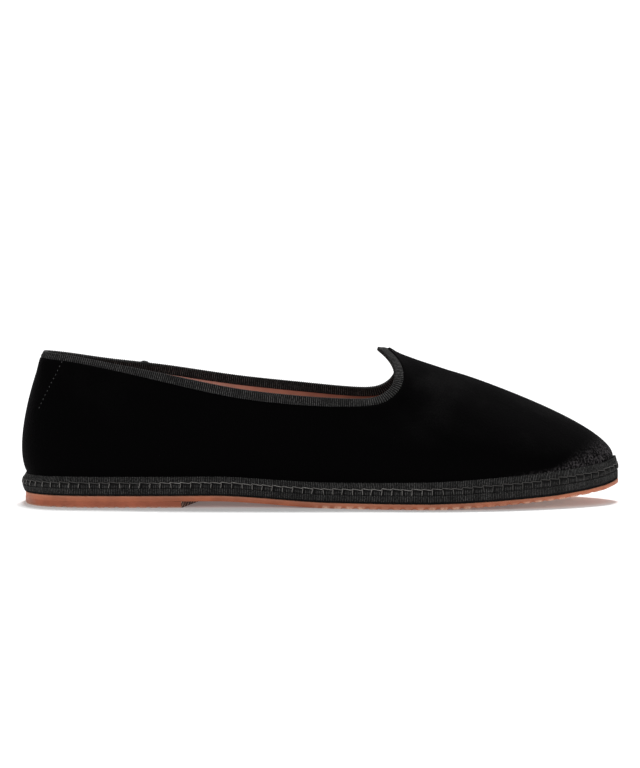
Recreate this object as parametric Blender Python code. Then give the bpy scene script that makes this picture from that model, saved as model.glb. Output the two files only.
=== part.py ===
"""Velvet slipper, right shoe, standing on its sole.

Metres. +X points to the toe, +Y to the inner side of the foot, +Z up. The origin is on the floor, below the middle of
the shoe. Every piece is worked out from one table of sections that goes round the shoe: each row pairs a point of the
sole's outline with a point of the collar, and the wall between them is a curve.
"""

import bmesh
import bpy
import numpy as np

# Sizes of the shoe
LENGTH = 0.2625
BALL_WIDTH = 0.0892
HEEL_WIDTH = 0.0644
BACK_HEIGHT = 0.0664
THROAT_HEIGHT = 0.0684
OPENING_LENGTH = 0.1476
OPENING_SETBACK = 0.0097
OPENING_WIDTH = 0.056

# Thicknesses
WALL = 0.0017
OUTSOLE = 0.0025
HEEL_LIFT = 0.0027
MIDSOLE = 0.0040
BAND_HEIGHT = 0.0103
INSOLE = 0.0026
TAPE = 0.0005
CLEARANCE = 0.0003
TAPE_GAP = 0.0002

# Details
WELT_STAND = 0.0024
WELT_BULGE = 0.0018
BAND_EDGE = 0.0002
OUTSOLE_INSET = 0.0017
OUTSOLE_BEVEL = 0.0004
HEEL_BEVEL = 0.0006
BINDING_WIDTH = 0.0035
TOE_SPRING = 0.0083
BREAST_AT = 0.0698
BREAST_SKEW = 0.0145
ARCH_START = 0.083
ARCH_END = 0.137
SPRING_START = 0.181

# Where one thing gives way to another, as shares of OPENING_LENGTH for the collar and of LENGTH for the rest
COLLAR_RISE = (0.30, 0.80)
WIDTH_CHANGE = (0.30, 0.65)
EDGE_CHANGE = (0.70, 1.00)

# Resolution
AROUND = 96
WALL_STEPS = 9
CURVE_STEPS = 41
HEEL_STEPS = 14
SHARP_DEGREES = 40

# One row for each section, from the back along the outer side to the tip of the toe, then home along the inner side.
# along: share of LENGTH from the back.
# out: share of half the local width, which goes from HEEL_WIDTH to BALL_WIDTH; the outer side is negative.
# open_along: share of OPENING_LENGTH from the collar's back. open_out: share of half the OPENING_WIDTH.
# open_up: share of the local height, which goes from BACK_HEIGHT to THROAT_HEIGHT.
# rise, fall: shares of the wall's height that its curve leaves the sole and reaches the collar by.
# swell: how far the curve's handles reach out over the sole, as a share of WELT_STAND.
# reach: how far the curve keeps the slope of the collar, as a share of the distance from the collar to the sole.
SECTION_COLUMNS = (
    "along", "out", "open_along", "open_out", "open_up", "rise", "swell", "fall", "reach",
)
SECTIONS = (
    (0.0000, 0.000, 0.000, 0.000, 1.000, 0.20, 2.66, 0.25, 0.32),
    (0.0141, -0.560, 0.022, -0.235, 0.994, 0.20, 2.25, 0.30, 0.38),
    (0.0649, -0.918, 0.093, -0.375, 0.977, 0.23, 1.60, 0.38, 0.48),
    (0.1450, -1.006, 0.207, -0.500, 0.931, 0.26, 1.20, 0.41, 0.58),
    (0.2481, -0.993, 0.376, -0.750, 0.864, 0.30, 1.10, 0.38, 0.52),
    (0.3588, -0.920, 0.578, -0.930, 0.767, 0.33, 1.00, 0.36, 0.46),
    (0.4695, -0.872, 0.780, -1.000, 0.712, 0.35, 0.95, 0.34, 0.42),
    (0.5802, -0.938, 0.915, -0.986, 0.697, 0.37, 0.90, 0.33, 0.40),
    (0.6870, -1.000, 0.996, -0.935, 0.711, 0.39, 0.80, 0.32, 0.40),
    (0.7901, -0.942, 1.040, -0.830, 0.779, 0.38, 0.65, 0.30, 0.40),
    (0.8817, -0.758, 1.050, -0.680, 0.851, 0.34, 0.45, 0.28, 0.40),
    (0.9485, -0.482, 1.042, -0.480, 0.915, 0.30, 0.38, 0.26, 0.38),
    (0.9870, -0.202, 1.019, -0.250, 0.972, 0.29, 0.35, 0.25, 0.38),
    (1.0000, 0.067, 1.000, 0.000, 1.000, 0.29, 0.35, 0.24, 0.38),
    (0.9908, 0.291, 1.019, 0.250, 0.972, 0.29, 0.35, 0.25, 0.38),
    (0.9527, 0.561, 1.042, 0.480, 0.915, 0.30, 0.38, 0.26, 0.38),
    (0.8855, 0.798, 1.050, 0.680, 0.852, 0.34, 0.45, 0.28, 0.40),
    (0.7939, 0.942, 1.040, 0.830, 0.781, 0.38, 0.65, 0.30, 0.40),
    (0.6870, 0.946, 0.996, 0.935, 0.715, 0.39, 0.80, 0.32, 0.40),
    (0.5802, 0.838, 0.915, 0.986, 0.706, 0.37, 0.90, 0.33, 0.40),
    (0.4695, 0.746, 0.780, 1.000, 0.731, 0.35, 1.00, 0.34, 0.42),
    (0.3588, 0.786, 0.578, 0.930, 0.789, 0.33, 1.10, 0.36, 0.46),
    (0.2481, 0.912, 0.376, 0.740, 0.875, 0.30, 1.20, 0.38, 0.52),
    (0.1450, 0.988, 0.207, 0.490, 0.931, 0.26, 1.25, 0.41, 0.58),
    (0.0649, 0.906, 0.093, 0.370, 0.971, 0.23, 1.60, 0.38, 0.48),
    (0.0141, 0.548, 0.022, 0.235, 0.993, 0.20, 2.25, 0.30, 0.38),
)

# Height of the sole's underside in the forefoot, as shares of TOE_SPRING, by share of the way from SPRING_START to the
# toe.
SPRING = ((0.0, 0.0), (0.15, 0.05), (0.33, 0.16), (0.50, 0.29), (0.67, 0.43), (0.84, 0.64), (0.93, 0.79), (1.0, 1.0))

# Thickness of the outsole, as a share of OUTSOLE, by share of LENGTH.
SOLE_THICKNESS = ((0.0, 1.0), (0.72, 1.0), (0.90, 0.76), (1.0, 0.76))

# Width of the collar's binding, as a share of BINDING_WIDTH, by share of OPENING_LENGTH.
BINDING = ((0.0, 0.72), (0.20, 0.78), (0.32, 0.95), (0.45, 1.05), (0.75, 1.06), (0.90, 1.0), (1.0, 1.05))

# Sections of the two tiers of tape: share of the height, and inset from BAND_EDGE as a share of the bulge.
WELT_PROFILE = ((0.0, 0.0), (0.30, 0.12), (0.55, 0.38), (0.80, 0.70), (1.0, 1.0))
MIDSOLE_PROFILE = ((0.0, 0.62), (0.35, 0.32), (0.70, 0.10), (1.0, 0.0))

# Bulge of the welt at the toe and what the heel adds to it, as shares of WELT_BULGE
TOE_BULGE = 0.55
HEEL_BULGE = 0.45

# Section of the binding's fold, as shares of its thickness: away from the face and over the edge
FOLD = (0.45, 0.85)

# Height of the welt's inner edge, as a share of the welt's height
WELT_BACK = 0.92

# Height of the tape band that midsole and welt share, as a share of BAND_HEIGHT, by share of LENGTH.
BAND = ((0.0, 0.75), (0.06, 0.79), (0.40, 0.79), (0.66, 0.90), (0.80, 0.97), (0.90, 1.0), (1.0, 0.93))

# Colour, roughness and metallic value of each piece
FINISHES = {
    "velvet": ((0.012, 0.011, 0.012), 0.95, 0.0),
    "grosgrain": ((0.022, 0.021, 0.021), 0.70, 0.0),
    "sock": ((0.46, 0.20, 0.13), 0.60, 0.0),
    "sole": ((0.42, 0.14, 0.075), 0.55, 0.0),
    "heel": ((0.36, 0.11, 0.06), 0.55, 0.0),
}


def clear_scene():
    for item in list(bpy.data.objects):
        bpy.data.objects.remove(item, do_unlink=True)


def finish(name):
    """The Principled material of this name, from FINISHES."""
    colour, roughness, metallic = FINISHES[name]
    material = bpy.data.materials.new(name)
    material.use_nodes = True
    shader = material.node_tree.nodes["Principled BSDF"]
    shader.inputs["Base Color"].default_value = (*colour, 1.0)
    shader.inputs["Roughness"].default_value = roughness
    shader.inputs["Metallic"].default_value = metallic
    return material


def closed_spline(rows, count):
    """The periodic cubic spline through the rows, read at count equal steps of the row number."""
    number = len(rows)
    ahead = np.roll(np.eye(number), 1, axis=1)
    bend = np.linalg.solve(
        4 * np.eye(number) + ahead + ahead.T,
        6 * (np.roll(rows, -1, axis=0) - 2 * rows + np.roll(rows, 1, axis=0)),
    )
    place = np.arange(count) * number / count
    first = place.astype(int)
    second = (first + 1) % number
    b = (place - first)[:, None]
    a = 1 - b
    line = a * rows[first] + b * rows[second]
    return line + ((a**3 - a) * bend[first] + (b**3 - b) * bend[second]) / 6


def smooth_step(value):
    value = np.clip(value, 0.0, 1.0)
    return value * value * (3 - 2 * value)


def change(limits, value):
    """Goes smoothly from 0 to 1 between the two limits."""
    return smooth_step((value - limits[0]) / (limits[1] - limits[0]))


def read_table(table, value):
    places, heights = np.array(table).T
    return np.interp(value, places, heights)


def along(x):
    """Share of LENGTH from the back."""
    return (x + LENGTH / 2) / LENGTH


def heel_share(x):
    """1 at the heel and under the arch, where the band is drawn in over the sole, and 0 at the toe."""
    return 1 - change(EDGE_CHANGE, along(x))


def underside(x):
    """Height of the outsole's lower face: level over the heel lift, down through the arch, up at the toe."""
    back = x + LENGTH / 2
    arch = HEEL_LIFT * (1 - smooth_step((back - ARCH_START) / (ARCH_END - ARCH_START)))
    forward = (back - SPRING_START) / (LENGTH - SPRING_START)
    return arch + TOE_SPRING * read_table(SPRING, forward)


def sole_top(x):
    return underside(x) + OUTSOLE * read_table(SOLE_THICKNESS, along(x))


def band_height(x):
    return BAND_HEIGHT * read_table(BAND, along(x))


def midsole_top(x):
    """The midsole keeps its share of the band, which is taller in front than at the heel."""
    share = MIDSOLE / BAND_HEIGHT
    return sole_top(x) + CLEARANCE + share * band_height(x)


def band_top(x):
    return sole_top(x) + CLEARANCE + band_height(x)


def sections():
    """The table's columns, each an array of AROUND values going round the shoe."""
    table = closed_spline(np.array(SECTIONS), AROUND)
    return dict(zip(SECTION_COLUMNS, table.T))


def sole_reach(table):
    """How far the sole reaches to each side of the line from heel to toe."""
    width = HEEL_WIDTH + (BALL_WIDTH - HEEL_WIDTH) * change(WIDTH_CHANGE, table["along"])
    return table["out"] * width / 2


def middle(table):
    """Where the middle of the sole's box lies beside the line from heel to toe."""
    reach = sole_reach(table)
    return (reach.min() + reach.max()) / 2


def sole_outline(table):
    """Plan of the welt's outermost line, (AROUND, 2)."""
    x = table["along"] * LENGTH - LENGTH / 2
    return np.stack([x, sole_reach(table) - middle(table)], axis=1)


def outward(outline):
    """Unit normals of a closed plan outline that runs from the back along the outer side, pointing out."""
    ahead = np.roll(outline, -1, axis=0) - np.roll(outline, 1, axis=0)
    normal = np.stack([ahead[:, 1], -ahead[:, 0]], axis=1)
    return normal / np.linalg.norm(normal, axis=1)[:, None]


def inset(outline, distance):
    """The outline moved in by distance, which may be one value or one for each point."""
    return outline - outward(outline) * np.reshape(distance, (-1, 1))


def lift(outline, height):
    """A ring in space: the plan outline at a height that may be one value or one for each point."""
    return np.column_stack([outline, np.broadcast_to(height, len(outline))])


def collar_line(table):
    """The upper's outer edge at the collar, (AROUND, 3)."""
    x = OPENING_SETBACK - LENGTH / 2 + table["open_along"] * OPENING_LENGTH
    y = table["open_out"] * OPENING_WIDTH / 2 - middle(table)
    rise = change(COLLAR_RISE, table["open_along"])
    z = table["open_up"] * (BACK_HEIGHT + (THROAT_HEIGHT - BACK_HEIGHT) * rise)
    return np.stack([x, y, z], axis=1)


def wall_lines(table):
    """The upper's outer face as (steps, AROUND, 3).

    Each line is a cubic curve from the top of the welt to the collar: it leaves the sole upwards, swollen out, and
    meets the collar along the slope of the last.
    """
    outline = sole_outline(table)
    base = inset(outline, WELT_STAND)
    start = lift(base, band_top(base[:, 0]))
    end = collar_line(table)
    height = (end - start)[:, 2]
    out = lift(outward(outline), 0.0)
    up = np.array([0.0, 0.0, 1.0])
    swell = (table["swell"] * WELT_STAND)[:, None]
    leave = start + out * swell + up * (table["rise"] * height)[:, None]
    flat = (start - end) * np.array([1.0, 1.0, 0.0])
    meet = end + flat * table["reach"][:, None] + out * swell / 2 - up * (table["fall"] * height)[:, None]
    t = np.linspace(0.0, 1.0, CURVE_STEPS)[:, None, None]
    return (
        (1 - t) ** 3 * start + 3 * (1 - t) ** 2 * t * leave + 3 * (1 - t) * t**2 * meet + t**3 * end
    )


def along_lines(lines, hem, shares):
    """Points of each line as (1 + len(shares), AROUND, 3): the collar's edge, then at these shares from hem, a distance
    down the line for each section, to the line's foot."""
    down = lines[::-1]
    steps = np.linalg.norm(np.diff(down, axis=0), axis=2)
    travelled = np.vstack([np.zeros(steps.shape[1]), np.cumsum(steps, axis=0)])
    wanted = np.vstack([np.zeros(len(hem)), hem + shares[:, None] * (travelled[-1] - hem)])
    found = np.empty((len(wanted), lines.shape[1], 3))
    for section in range(lines.shape[1]):
        for axis in range(3):
            known = travelled[:, section]
            found[:, section, axis] = np.interp(wanted[:, section], known, down[:, section, axis])
    return found


def grid_normals(grid):
    """Unit normals of a (rows, AROUND, 3) face whose rows run down from the collar, pointing out of the shoe."""
    down = np.gradient(grid, axis=0)
    around = np.roll(grid, -1, axis=1) - np.roll(grid, 1, axis=1)
    normal = np.cross(around, down)
    normal /= np.linalg.norm(normal, axis=2)[:, :, None]
    return -normal


def make_object(name, vertices, faces, material):
    mesh = bpy.data.meshes.new(name)
    shape = bmesh.new()
    points = [shape.verts.new(point) for point in vertices]
    for face in faces:
        shape.faces.new([points[corner] for corner in face])
    bmesh.ops.recalc_face_normals(shape, faces=shape.faces)
    shape.to_mesh(mesh)
    shape.free()
    mesh.materials.append(material)
    mesh.shade_smooth()
    mesh.set_sharp_from_angle(angle=np.radians(SHARP_DEGREES))
    item = bpy.data.objects.new(name, mesh)
    bpy.context.scene.collection.objects.link(item)
    return item


def bridge(first, second, number):
    """Faces between two neighbouring rings of this many points, given the index of each ring's first point."""
    for here in range(number):
        there = (here + 1) % number
        yield first + here, first + there, second + there, second + here


def make_ring(name, rings, material):
    """A tube that closes on itself: the rings go round its section, and the last meets the first."""
    number = len(rings[0])
    faces = []
    for index in range(len(rings)):
        after = (index + 1) % len(rings)
        faces += bridge(index * number, after * number, number)
    return make_object(name, np.vstack(rings), faces, material)


def make_plate(name, rings, material):
    """A plate with its side made by the rings, closed below and above by strips across the shoe."""
    number = len(rings[0])
    faces = []
    for index in range(len(rings) - 1):
        faces += bridge(index * number, (index + 1) * number, number)
    for start in (0, (len(rings) - 1) * number):
        for row in range(number // 2):
            strip = [row, row + 1, (number - row - 1) % number, (number - row) % number]
            faces.append([start + corner for corner in dict.fromkeys(strip)])
    return make_object(name, np.vstack(rings), faces, material)


def make_outsole(table, material):
    outline = outsole_outline(table)
    low = underside(outline[:, 0])
    inner = inset(outline, OUTSOLE_BEVEL)
    rings = [
        lift(inner, low),
        lift(outline, low + OUTSOLE_BEVEL),
        lift(outline, sole_top(outline[:, 0])),
    ]
    return make_plate("outsole", rings, material)


def outsole_outline(table):
    """The outsole lies inside the tape band at the heel and comes out level with it at the toe."""
    outline = sole_outline(table)
    return inset(outline, OUTSOLE_INSET * heel_share(outline[:, 0]))


def heel_outline(table):
    """The outsole's outline back to the breast, which runs obliquely from the outer to the inner side."""
    outline = outsole_outline(table)
    half = AROUND // 2
    outer = outline[: half + 1]
    inner = outline[[0, *range(AROUND - 1, half - 1, -1)]]
    sides = []
    for side in (outer, inner):
        breast = BREAST_AT - LENGTH / 2 + BREAST_SKEW * (side[:, 1] / HEEL_WIDTH + 0.5)
        end = np.interp(0.0, (side[:, 0] - breast)[: half // 2], np.arange(half // 2))
        places = np.linspace(0.0, 1.0, HEEL_STEPS) * end
        steps = np.arange(half + 1)
        sides.append(np.column_stack([np.interp(places, steps, side[:, axis]) for axis in range(2)]))
    return np.vstack([sides[0], sides[1][:0:-1]])


def make_heel(table, material):
    outline = heel_outline(table)
    number = len(outline)
    centre = outline.mean(axis=0)
    shrink = 1 - HEEL_BEVEL / (HEEL_WIDTH / 2)
    inner = centre + (outline - centre) * shrink
    rings = [
        lift(inner, 0.0),
        lift(outline, HEEL_BEVEL),
        lift(outline, HEEL_LIFT - CLEARANCE),
    ]
    faces = []
    for index in range(len(rings) - 1):
        faces += bridge(index * number, (index + 1) * number, number)
    faces.append(list(range(number)))
    faces.append([2 * number + point for point in range(number)])
    return make_object("heel", np.vstack(rings), faces, material)


def tier(outline, profile, bulge, low, high):
    """Rings of one tier of tape, whose profile is drawn in from the outline by shares of its bulge."""
    return [
        lift(inset(outline, BAND_EDGE + bulge * share), low + (high - low) * height)
        for height, share in profile
    ]


def make_midsole(table, material):
    """The lower tier of the tape band: a full plate, widest at its top and drawn in over the sole at the heel."""
    outline = sole_outline(table)
    x = outline[:, 0]
    low = sole_top(x) + CLEARANCE
    rings = tier(outline, MIDSOLE_PROFILE, WELT_BULGE * heel_share(x), low, midsole_top(x))
    return make_plate("midsole", rings, material)


def make_welt(table, material):
    """The upper tier of the tape band: a rounded ring that stands on the midsole round the foot of the upper."""
    outline = sole_outline(table)
    x = outline[:, 0]
    low = midsole_top(x) + CLEARANCE
    high = band_top(x)
    inner = inset(outline, WELT_STAND - CLEARANCE)
    bulge = WELT_BULGE * (TOE_BULGE + HEEL_BULGE * heel_share(x))
    rings = [
        lift(inner, low),
        *tier(outline, WELT_PROFILE, bulge, low, high),
        lift(inner, low + (high - low) * WELT_BACK),
    ]
    return make_ring("welt", rings, material)


def make_insole(table, material):
    """The sock inside the upper, on the midsole."""
    outline = inset(sole_outline(table), WELT_STAND + WALL + CLEARANCE)
    low = midsole_top(outline[:, 0]) + CLEARANCE
    rings = [
        lift(outline, low),
        lift(outline, low + INSOLE - OUTSOLE_BEVEL),
        lift(inset(outline, OUTSOLE_BEVEL), low + INSOLE),
    ]
    return make_plate("insole", rings, material)


def upper_faces(table):
    """The outer face from the collar down to the midsole, and its normals, both (rows, AROUND, 3)."""
    lines = wall_lines(table)
    hem = BINDING_WIDTH * read_table(BINDING, table["open_along"])
    face = along_lines(lines, hem, np.linspace(0.0, 1.0, WALL_STEPS + 1))
    foot = face[-1].copy()
    foot[:, 2] = midsole_top(foot[:, 0]) + CLEARANCE
    face = np.concatenate([face, foot[None]])
    normals = grid_normals(face)
    flat = lift(outward(sole_outline(table)), 0.0)
    normals[-1] = flat
    normals[-2] = flat
    return face, normals


def make_upper(table, material):
    face, normals = upper_faces(table)
    inside = face - WALL * normals
    inside[-1, :, 2] = face[-1, :, 2]
    return make_ring("upper", [*face, *inside[::-1]], material)


def make_binding(table, material):
    """Tape folded over the topline. Its legs follow both faces of the upper down to its hem."""
    face, normals = upper_faces(table)
    edge, hem = face[0], face[1]
    edge_normal, hem_normal = normals[0], normals[1]
    over = edge - hem
    over /= np.linalg.norm(over, axis=1)[:, None]
    near = TAPE_GAP
    far = TAPE_GAP + TAPE
    aside, above = FOLD
    rings = [
        hem + hem_normal * far,
        edge + edge_normal * far,
        edge + edge_normal * aside * far + over * above * far,
        edge - edge_normal * WALL / 2 + over * far,
        edge - edge_normal * (WALL + aside * far) + over * above * far,
        edge - edge_normal * (WALL + far),
        hem - hem_normal * (WALL + far),
        hem - hem_normal * (WALL + near),
        edge - edge_normal * (WALL + near) + over * near,
        edge + edge_normal * near + over * near,
        hem + hem_normal * near,
    ]
    return make_ring("collar_binding", rings, material)


def main():
    clear_scene()
    table = sections()
    velvet = finish("velvet")
    grosgrain = finish("grosgrain")
    sole = finish("sole")
    make_outsole(table, sole)
    make_heel(table, finish("heel"))
    make_midsole(table, grosgrain)
    make_welt(table, grosgrain)
    make_insole(table, finish("sock"))
    make_upper(table, velvet)
    make_binding(table, grosgrain)


main()
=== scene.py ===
"""Looks of the velvet slipper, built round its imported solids.

Metres. +X points to the toe, +Y to the inner side of the foot, +Z up. The shapes follow the same table of sections as
the solids: each row pairs a point of the sole's outline with a point of the collar, and a place round the shoe is a
row number that may be a fraction.
"""

import math

import bpy
import numpy as np
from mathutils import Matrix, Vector


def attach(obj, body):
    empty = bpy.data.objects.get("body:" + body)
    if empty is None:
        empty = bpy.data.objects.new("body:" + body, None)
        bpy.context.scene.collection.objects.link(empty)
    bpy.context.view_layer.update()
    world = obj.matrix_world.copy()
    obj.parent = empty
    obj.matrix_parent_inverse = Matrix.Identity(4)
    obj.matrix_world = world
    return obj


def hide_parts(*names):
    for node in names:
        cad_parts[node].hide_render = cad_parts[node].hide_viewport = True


bl_info = {
    "name": "Velvet Slipper",
    "version": (1, 0, 0),
    "blender": (4, 5, 0),
    "location": "View3D > Sidebar > Slipper",
    "description": "Builds a velvet slipper with taped collar, stitched welt and rubber sole",
    "category": "Object",
}

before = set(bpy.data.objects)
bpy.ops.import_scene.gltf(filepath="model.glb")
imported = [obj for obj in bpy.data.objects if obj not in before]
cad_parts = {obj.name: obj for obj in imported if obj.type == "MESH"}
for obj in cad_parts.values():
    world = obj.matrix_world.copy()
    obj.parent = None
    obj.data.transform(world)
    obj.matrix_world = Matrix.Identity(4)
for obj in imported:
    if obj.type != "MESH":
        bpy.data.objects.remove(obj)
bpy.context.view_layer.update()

MM = 0.001

# Sizes that the solids have
LENGTH = 0.2625
BALL_WIDTH = 0.0892
HEEL_WIDTH = 0.0644
BACK_HEIGHT = 0.0664
THROAT_HEIGHT = 0.0684
OPENING_LENGTH = 0.1476
OPENING_SETBACK = 0.0097
OPENING_WIDTH = 0.056
WALL = 0.0017
OUTSOLE = 0.0025
HEEL_LIFT = 0.0027
MIDSOLE = 0.0040
BAND_HEIGHT = 0.0103
INSOLE = 0.0026
CLEARANCE = 0.0003
WELT_STAND = 0.0024
WELT_BULGE = 0.0018
BAND_EDGE = 0.0002
OUTSOLE_INSET = 0.0017
BINDING_WIDTH = 0.0035
TOE_SPRING = 0.0083
BREAST_AT = 0.0698
BREAST_SKEW = 0.0145
ARCH_START = 0.083
ARCH_END = 0.137
SPRING_START = 0.181
COLLAR_RISE = (0.30, 0.80)
WIDTH_CHANGE = (0.30, 0.65)
EDGE_CHANGE = (0.70, 1.00)
TOE_BULGE = 0.55
HEEL_BULGE = 0.45

# Row by row round the shoe, as in the solids: from the back along the outer side to the tip, home along the inner side
SECTION_COLUMNS = (
    "along", "out", "open_along", "open_out", "open_up", "rise", "swell", "fall", "reach",
)
SECTIONS = (
    (0.0000, 0.000, 0.000, 0.000, 1.000, 0.20, 2.66, 0.25, 0.32),
    (0.0141, -0.560, 0.022, -0.235, 0.994, 0.20, 2.25, 0.30, 0.38),
    (0.0649, -0.918, 0.093, -0.375, 0.977, 0.23, 1.60, 0.38, 0.48),
    (0.1450, -1.006, 0.207, -0.500, 0.931, 0.26, 1.20, 0.41, 0.58),
    (0.2481, -0.993, 0.376, -0.750, 0.864, 0.30, 1.10, 0.38, 0.52),
    (0.3588, -0.920, 0.578, -0.930, 0.767, 0.33, 1.00, 0.36, 0.46),
    (0.4695, -0.872, 0.780, -1.000, 0.712, 0.35, 0.95, 0.34, 0.42),
    (0.5802, -0.938, 0.915, -0.986, 0.697, 0.37, 0.90, 0.33, 0.40),
    (0.6870, -1.000, 0.996, -0.935, 0.711, 0.39, 0.80, 0.32, 0.40),
    (0.7901, -0.942, 1.040, -0.830, 0.779, 0.38, 0.65, 0.30, 0.40),
    (0.8817, -0.758, 1.050, -0.680, 0.851, 0.34, 0.45, 0.28, 0.40),
    (0.9485, -0.482, 1.042, -0.480, 0.915, 0.30, 0.38, 0.26, 0.38),
    (0.9870, -0.202, 1.019, -0.250, 0.972, 0.29, 0.35, 0.25, 0.38),
    (1.0000, 0.067, 1.000, 0.000, 1.000, 0.29, 0.35, 0.24, 0.38),
    (0.9908, 0.291, 1.019, 0.250, 0.972, 0.29, 0.35, 0.25, 0.38),
    (0.9527, 0.561, 1.042, 0.480, 0.915, 0.30, 0.38, 0.26, 0.38),
    (0.8855, 0.798, 1.050, 0.680, 0.852, 0.34, 0.45, 0.28, 0.40),
    (0.7939, 0.942, 1.040, 0.830, 0.781, 0.38, 0.65, 0.30, 0.40),
    (0.6870, 0.946, 0.996, 0.935, 0.715, 0.39, 0.80, 0.32, 0.40),
    (0.5802, 0.838, 0.915, 0.986, 0.706, 0.37, 0.90, 0.33, 0.40),
    (0.4695, 0.746, 0.780, 1.000, 0.731, 0.35, 1.00, 0.34, 0.42),
    (0.3588, 0.786, 0.578, 0.930, 0.789, 0.33, 1.10, 0.36, 0.46),
    (0.2481, 0.912, 0.376, 0.740, 0.875, 0.30, 1.20, 0.38, 0.52),
    (0.1450, 0.988, 0.207, 0.490, 0.931, 0.26, 1.25, 0.41, 0.58),
    (0.0649, 0.906, 0.093, 0.370, 0.971, 0.23, 1.60, 0.38, 0.48),
    (0.0141, 0.548, 0.022, 0.235, 0.993, 0.20, 2.25, 0.30, 0.38),
)
ROWS = len(SECTIONS)
SOLID_COLUMNS = 96
SPRING = ((0.0, 0.0), (0.15, 0.05), (0.33, 0.16), (0.50, 0.29), (0.67, 0.43), (0.84, 0.64), (0.93, 0.79), (1.0, 1.0))
SOLE_THICKNESS = ((0.0, 1.0), (0.72, 1.0), (0.90, 0.76), (1.0, 0.76))
BINDING = ((0.0, 0.72), (0.20, 0.78), (0.32, 0.95), (0.45, 1.05), (0.75, 1.06), (0.90, 1.0), (1.0, 1.05))
BAND = ((0.0, 0.75), (0.06, 0.79), (0.40, 0.79), (0.66, 0.90), (0.80, 0.97), (0.90, 1.0), (1.0, 0.93))
THROAT_PLACE = 13.0

# Counts of points and of stitches
UPPER_COLUMNS = 640
UPPER_ROWS = 84
LINING_COLUMNS = 480
OUTLINE_SAMPLES = 2400
LENGTH_SAMPLES = 4000
STITCH_SAMPLES = 8
COUNTER_STITCHES = 12

# Details of the scene's own. A pair says from where to where something sets in, along x in metres or as shares of the
# length, but PATCH_TALL is the least and the greatest height of the toe's patch of rubbed nap and painted sheen
LINING_WORN = (-0.066, -0.021)
LINING_SHADED = (-0.022, 0.003)
LINING_DARK = (0.016, 0.030)
TREAD_START = (0.006, 0.012)
TREAD_END = (0.118, 0.124)
DASHES_START = (-0.004, 0.002)
HEEL_TREAD = (0.008, 0.012)
CLEAR_OF_BREAST = (0.004, 0.008)
THREAD_DULLS = (0.040, 0.085)
THREAD_BRIGHTENS = (-0.092, -0.062)
TOE_RUB_AND_SHEEN = (0.80, 0.90)
PATCH_TALL = (0.7 * MM, 12.2 * MM)
PATCH_GROWS = (0.890, 0.995)
EDGE_PINCH = 0.35 * MM
THROAT_PINCH = 0.22 * MM
PINCH_REACH = 1.6 * MM
SEAM_START = 0.9 * MM
SEWN_RIB = 0.95
MIDSOLE_BULGE = 0.62
STROKES_SCALE = 34.0
CLUMPS_SCALE = 1000.0
THREADS_SCALE = (1150.0, 1500.0, 1.0)
BLOTCHES_SCALE = 210.0
PATCH_LENGTH = 0.047
THROAT_BEAD = 0.6 * MM
TAPE_JOIN_AT = -0.0772
TAPE_JOIN_RISE = 0.5 * MM
COLLAR_SHINE = 0.955
THREAD_SIDES = 6
PICTURE_HEIGHT = 768
CAMERA_DISTANCE = 3.0
FLOOR_REACH = 45.0
FLOOR_GLOW = 0.12

# Soft creases of the velvet: side (-1 outer, 1 inner, 0 both), start and end as share of the length and height in mm,
# half width in mm, and depth in mm, where a negative depth is a ridge
CREASES = (
    (-1, 0.600, 40.0, 0.655, 22.0, 4.0, 0.42),
    (-1, 0.640, 44.0, 0.705, 25.0, 3.6, 0.30),
    (-1, 0.560, 36.0, 0.600, 19.0, 4.6, -0.26),
    (-1, 0.330, 30.0, 0.520, 26.0, 7.0, 0.45),
    (-1, 0.120, 46.0, 0.180, 22.0, 6.0, 0.30),
    (-1, 0.690, 46.0, 0.760, 36.0, 3.2, 0.22),
    (1, 0.600, 40.0, 0.655, 24.0, 4.2, 0.45),
    (1, 0.655, 43.0, 0.715, 26.0, 3.8, 0.28),
    (1, 0.400, 30.0, 0.520, 24.0, 6.5, 0.42),
    (1, 0.130, 44.0, 0.190, 24.0, 6.0, 0.30),
    (0, 0.672, 61.5, 0.705, 58.5, 5.5, 0.50),
)


def smooth_step(value):
    value = np.clip(value, 0.0, 1.0)
    return value * value * (3 - 2 * value)


def bell(value, width, power=2):
    """exp(-(value / width)^power): 1 at nought, and soon 0 beyond the width."""
    return np.exp(-((value / width) ** power))


def change(limits, value):
    """Goes smoothly from 0 to 1 between the two limits."""
    return smooth_step((value - limits[0]) / (limits[1] - limits[0]))


def read_table(table, value):
    return np.interp(value, *np.array(table).T)


def along(x):
    """Share of the length from the back."""
    return x / LENGTH + 0.5


def heel_share(x):
    """1 at the heel and under the arch, where the band is drawn in over the sole, and 0 at the toe."""
    return 1 - change(EDGE_CHANGE, along(x))


def unit(vectors):
    """The vectors divided by their lengths."""
    return vectors / np.linalg.norm(vectors, axis=-1, keepdims=True)


# Shape of the shoe


def round_places(count):
    """This many places round the shoe, evenly spread over the rows of the table."""
    return np.arange(count) * ROWS / count


def closed_spline(rows, places):
    """The periodic cubic spline through the rows at these places: with a and b the shares of the two nearest rows, it
    is a·first + b·second + ((a³ - a)·bend first + (b³ - b)·bend second) / 6."""
    number = len(rows)
    ahead = np.roll(np.eye(number), 1, axis=1)
    bend = np.linalg.solve(
        4 * np.eye(number) + ahead + ahead.T,
        6 * (np.roll(rows, -1, axis=0) - 2 * rows + np.roll(rows, 1, axis=0)),
    )
    whole = np.floor(places)
    first = whole.astype(int) % number
    second = (first + 1) % number
    b = (places - whole)[:, None]
    a = 1 - b
    line = a * rows[first] + b * rows[second]
    return line + ((a**3 - a) * bend[first] + (b**3 - b) * bend[second]) / 6


def read_sections(places):
    return dict(zip(SECTION_COLUMNS, closed_spline(np.array(SECTIONS), places).T))


def sole_reach(table):
    width = HEEL_WIDTH + (BALL_WIDTH - HEEL_WIDTH) * change(WIDTH_CHANGE, table["along"])
    return table["out"] * width / 2


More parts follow.
